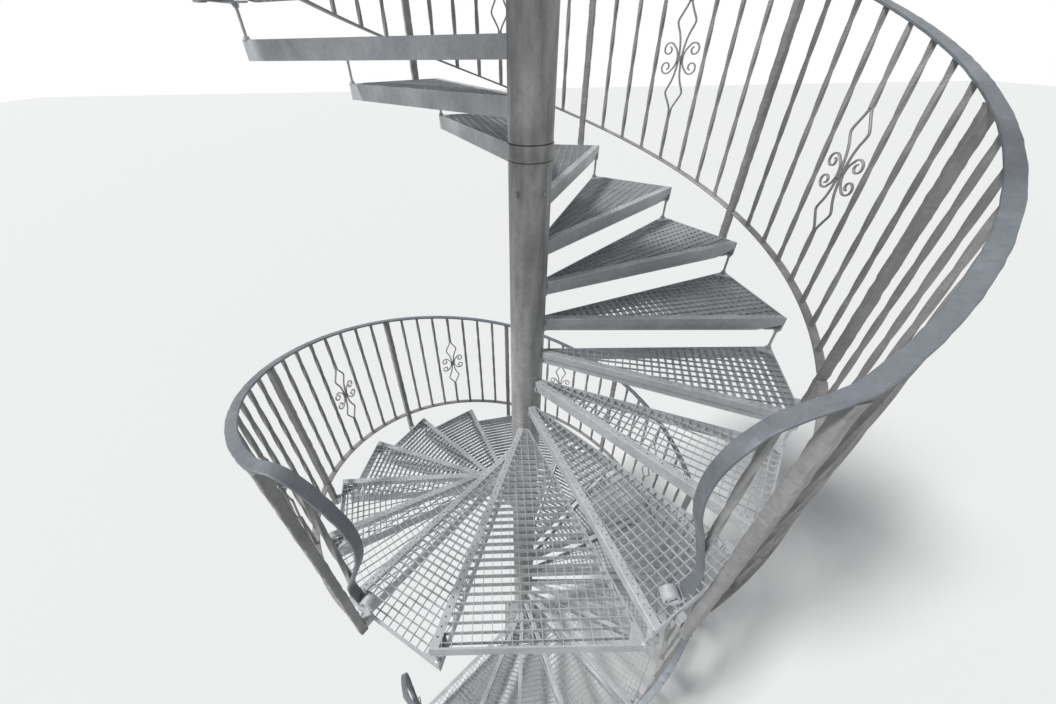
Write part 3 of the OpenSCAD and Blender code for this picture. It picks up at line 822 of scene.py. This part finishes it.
coil_turn = np.radians(np.arange(0, 641, 8.0))
coil_heading = np.stack([np.cos(coil_turn), np.sin(coil_turn)], -1)
coil_radius = 0.0295 - 0.0112 * coil_turn / (2 * math.pi)
handrail_dents = 0.0020
rib_depth, rib_start = 0.0012, 8        # ribs fade in over the roll's first points
smoothed_length, smoothed_points = 0.05, 17
for index, (flight, start, base, count) in enumerate(flights):
    rolls, ends = [], []
    for side, k in ((-1, 1), (1, count)):
        coil = np.array(roll_place[side]) - coil_radius[:, None] * coil_heading
        s = ((k - 1) * step + quarter) * rail_radius
        line = bow(side, 12)
        ends.append(end_rows(side, s, k * rise, line))
        rolled = end_rows(side, s, k * rise, np.vstack([line[-3:-1], coil]))
        depth = np.clip((np.arange(len(rolled)) - rib_start) / rib_start, 0, 1) * rib_depth
        if side < 0:
            rolled, depth = rolled[::-1], depth[::-1]
        rolls.append(flat_rail(rolled, start, base, 0.0, 0, ribs=depth))
    # Painted sunlight: the rolls take the treads' lighter zinc, not the handrail's, as if they
    # stood in sun.
    piece("handrail_rolls_" + flight, rolls, zinc_tread_painted_sunlit, smooth=True)

    a = np.linspace(quarter, (count - 1) * step + quarter, 400)
    swing = bow_turn[1] * eased((a - a[-1]) * rail_radius) \
        - bow_turn[-1] * eased((a[0] - a) * rail_radius)
    main = climbing(a, handrail_height, handrail_width, handrail_thickness, swing)
    path = resampled(np.vstack([ends[0][::-1], main, ends[1]]), point_spacing)
    to_post = np.minimum(abs(path[:, 0] - main[0, 0]), abs(path[:, 0] - main[-1, 0]))
    near = (to_post < smoothed_length) & (path[:, 1] > rail_level)
    padded = np.pad(path[:, 2], smoothed_points // 2, mode="edge")
    mean = np.convolve(padded, np.ones(smoothed_points) / smoothed_points, mode="valid")
    path[near, 2] = mean[near]
    shells = [flat_rail(path, start, base, handrail_dents, index)]
    made = piece("hammered_handrail_" + flight, shells, zinc_handrail_painted_shade, smooth=True)
    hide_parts("handrail_" + flight)

    gap = math.asin(post_width / 2 / rail_radius)
    shells = []
    posts_at = post_treads(count)
    for k, after in zip(posts_at, posts_at[1:]):
        a = np.linspace((k - 1) * step + quarter + gap, (after - 1) * step + quarter - gap,
                        30 * (after - k))
        path = climbing(a, bottom_height, bottom_width, bottom_thickness, 0)
        shells.append(flat_rail(path, start, base, 0.0, 0))
    made = piece("bottom_flat_rail_" + flight, shells, zinc_rail, smooth=True)
    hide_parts("bottom_rail_" + flight)

# ---------------------------------------------------------------- floor and light
# A plain pale floor lies under a soft sky, with one wide lamp from the left and in front. The floor
# throws little light back up, so that undersides stay darker than tops.


def seen_directly(tree):
    """1 for rays of the camera, mirrors and glass, and 0 for the light between surfaces."""
    rays = tree.nodes.new("ShaderNodeLightPath")
    clear = tree.nodes.new("ShaderNodeMath")
    clear.operation = "MAXIMUM"
    tree.links.new(rays.outputs["Is Glossy Ray"], clear.inputs[0])
    tree.links.new(rays.outputs["Is Transmission Ray"], clear.inputs[1])
    seen = tree.nodes.new("ShaderNodeMath")
    seen.operation = "ADD"
    seen.use_clamp = True
    tree.links.new(rays.outputs["Is Camera Ray"], seen.inputs[0])
    tree.links.new(clear.outputs["Value"], seen.inputs[1])
    return seen.outputs["Value"]


half_floor = 60
floor_mesh = bpy.data.meshes.new("floor")
floor_mesh.from_pydata([(x * half_floor, y * half_floor, 0) for x, y in
                        ((-1, -1), (1, -1), (1, 1), (-1, 1))], [], [(0, 1, 2, 3)])
floor = bpy.data.objects.new("floor", floor_mesh)
bpy.context.scene.collection.objects.link(floor)
pale = bpy.data.materials.new("pale_floor")
pale.use_nodes = True
tree = pale.node_tree
shader = tree.nodes["Principled BSDF"]
shader.inputs["Roughness"].default_value = 0.9
shade = tree.nodes.new("ShaderNodeMix")
shade.data_type = "RGBA"
shade.inputs["A"].default_value = (0.34, 0.34, 0.34, 1)
shade.inputs["B"].default_value = (0.80, 0.80, 0.79, 1)
tree.links.new(seen_directly(tree), shade.inputs["Factor"])
tree.links.new(shade.outputs["Result"], shader.inputs["Base Color"])
floor_mesh.materials.append(pale)
lamp = bpy.data.objects.new("sun", bpy.data.lights.new("sun", "SUN"))
lamp.data.energy = 3.4
lamp.data.angle = math.radians(9)
lamp.rotation_euler = (math.radians(14), math.radians(-40), 0)
bpy.context.scene.collection.objects.link(lamp)
world = bpy.data.worlds.new("sky")
bpy.context.scene.world = world
world.use_nodes = True
tree = world.node_tree
sky = tree.nodes["Background"]
sky.inputs["Color"].default_value = (0.90, 0.95, 1.0, 1)
sky.inputs["Strength"].default_value = 0.26
white = tree.nodes.new("ShaderNodeBackground")
white.inputs["Color"].default_value = (1, 1, 1, 1)
choose = tree.nodes.new("ShaderNodeMixShader")
tree.links.new(seen_directly(tree), choose.inputs["Fac"])
tree.links.new(sky.outputs["Background"], choose.inputs[1])
tree.links.new(white.outputs["Background"], choose.inputs[2])
tree.links.new(choose.outputs["Shader"], tree.nodes["World Output"].inputs["Surface"])
bpy.context.scene.view_settings.view_transform = "Standard"
